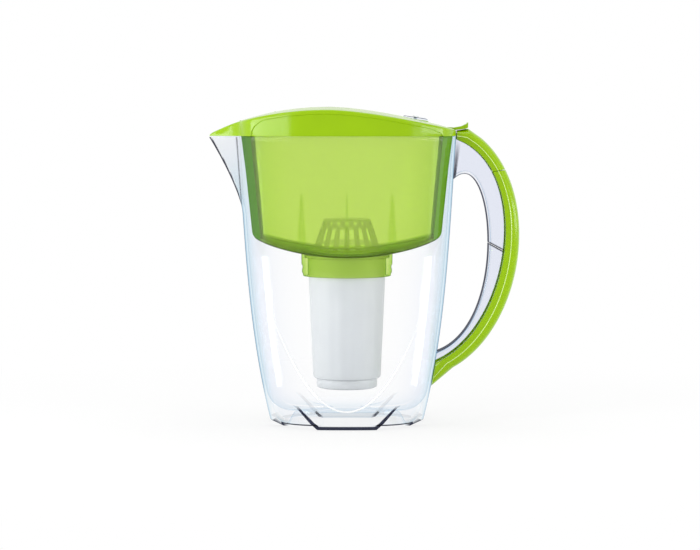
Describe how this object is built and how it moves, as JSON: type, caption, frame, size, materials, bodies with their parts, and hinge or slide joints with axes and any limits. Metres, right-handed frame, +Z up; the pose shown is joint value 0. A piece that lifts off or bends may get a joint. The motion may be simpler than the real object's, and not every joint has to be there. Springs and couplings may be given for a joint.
{
  "type": "water filter pitcher",
  "caption": "Clear oval water jug with green handle, funnel and lid with flip cover, and a white filter cartridge hanging inside.",
  "frame": {"origin": "on the jug's upright axis, on the surface that it stands on", "axes": "+Z up, +X towards the handle, -X towards the spout, +Y through the jug's depth"},
  "size_m": [0.2639, 0.145, 0.27],
  "materials": {
    "clear_san": "clear moulded styrene acrylonitrile, polished",
    "green_gloss": "glossy moulded ABS in lime green",
    "green_tint": "lime green translucent moulded plastic",
    "filter_white": "white moulded polypropylene, satin",
    "seal_rubber": "soft grey seal",
    "screen_mesh": "fine woven plastic screen",
    "carbon": "black granules of activated carbon and resin beads",
    "felt": "white fleece",
    "pin_steel": "drawn stainless steel wire",
    "scale_white": "white printed disc"
  },
  "bodies": {
    "jug": {"jug_body": "clear_san", "handle_frame_upper": "clear_san", "handle_frame_lower": "clear_san", "handle_cap": "green_gloss", "handle_grip": "green_gloss"},
    "hopper": {"hopper": "green_tint"},
    "cartridge": {"cartridge_body": "filter_white", "cartridge_seal": "seal_rubber", "cartridge_cap": "filter_white", "cartridge_base": "filter_white", "inlet_screen": "screen_mesh", "carbon_bed": "carbon", "outlet_felt": "felt"},
    "lid": {"lid_frame": "green_gloss", "hatch_pin": "pin_steel", "flap_pin": "pin_steel"},
    "hatch": {"hatch": "green_gloss", "dial_scale": "scale_white", "dial_rivet": "filter_white"},
    "dial": {"dial_cover": "clear_san"},
    "spout_flap": {"spout_flap": "green_gloss"}
  },
  "joints": [
    {"name": "hopper_lift", "type": "slide", "parent": "jug", "child": "hopper", "axis": [0, 0, 1], "range_m": [0, 0.22]},
    {"name": "cartridge_lift", "type": "slide", "parent": "hopper", "child": "cartridge", "axis": [0, 0, 1], "range_m": [0, 0.078]},
    {"name": "lid_lift", "type": "slide", "parent": "hopper", "child": "lid", "axis": [0, 0, 1], "range_m": [0, 0.1]},
    {"name": "hatch_hinge", "type": "hinge", "parent": "lid", "child": "hatch", "pos_m": [-0.06, 0, 0.2634], "axis": [0, -1, 0], "range_deg": [0, 95]},
    {"name": "dial_turn", "type": "hinge", "parent": "hatch", "child": "dial", "pos_m": [0.058, 0, 0.2596], "axis": [0.1564, 0, 0.9877], "continuous": true},
    {"name": "spout_flap_hinge", "type": "hinge", "parent": "lid", "child": "spout_flap", "pos_m": [-0.0864, 0, 0.25699], "axis": [0, 1, 0], "range_deg": [0, 55]}
  ]
}
